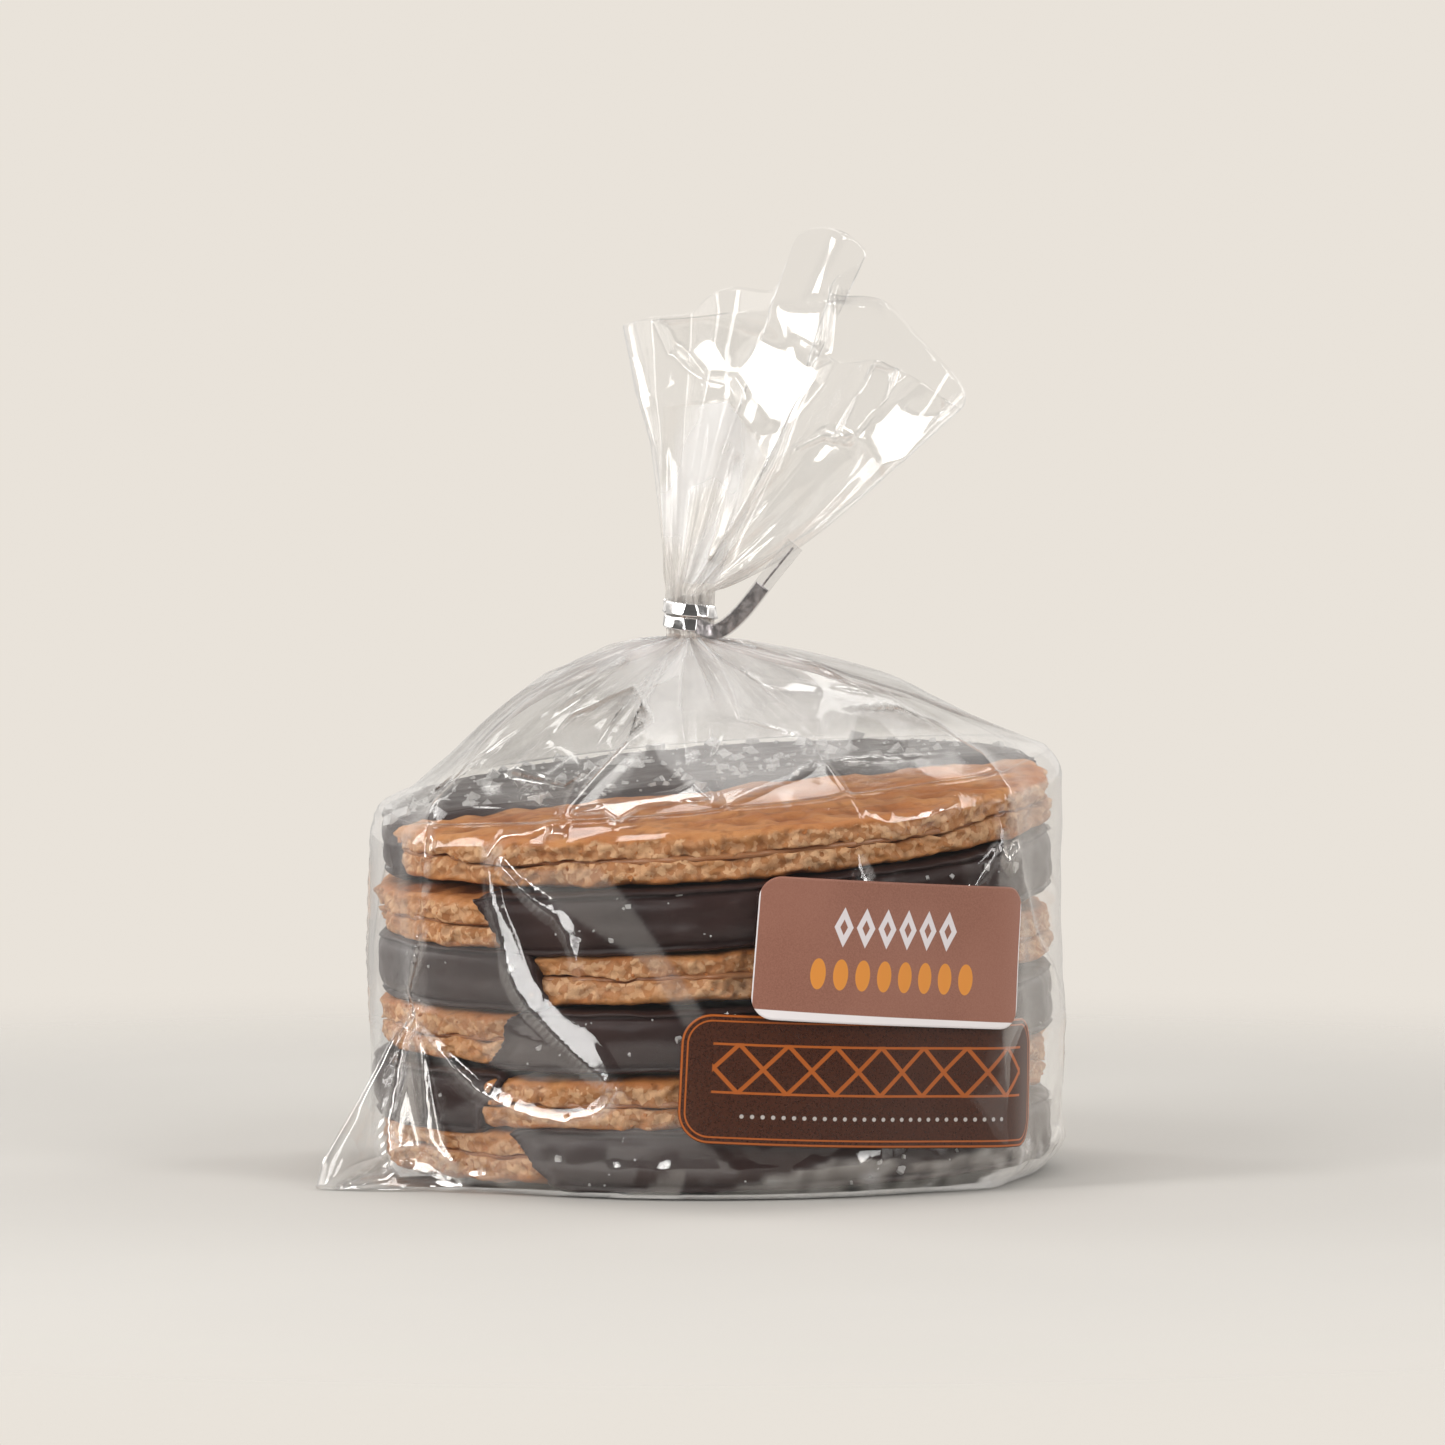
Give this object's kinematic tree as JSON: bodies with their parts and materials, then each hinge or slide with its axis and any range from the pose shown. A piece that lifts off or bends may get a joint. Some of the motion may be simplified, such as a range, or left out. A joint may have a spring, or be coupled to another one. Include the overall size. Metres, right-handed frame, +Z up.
{
  "type": "tied bag of dipped syrup waffles",
  "caption": "Clear film bag, gathered and closed with a wound twist tie, round a stack of round syrup waffles half dipped in dark chocolate; it stands on its flat base.",
  "frame": {"origin": "under the middle of the whole bag, on the ground it stands on", "axes": "+Z up, -Y towards the side with the label, +X to the right seen from that side"},
  "size_m": [0.1096, 0.105, 0.1382],
  "materials": {
    "film": "clear glossy film",
    "foil": "bright metal foil",
    "label_paper": "satin coated paper",
    "film_print": "see-through printed ink on film",
    "wafer": "baked waffle",
    "syrup": "sticky caramel syrup",
    "chocolate": "dark chocolate with a soft gloss",
    "salt": "coarse salt",
    "sleeve": "clear plastic sleeve of the tie's tail"
  },
  "bodies": {
    "root": {"bag": "film", "tie": "foil", "label": "label_paper", "plaque": "film_print"}
  },
  "joints": []
}
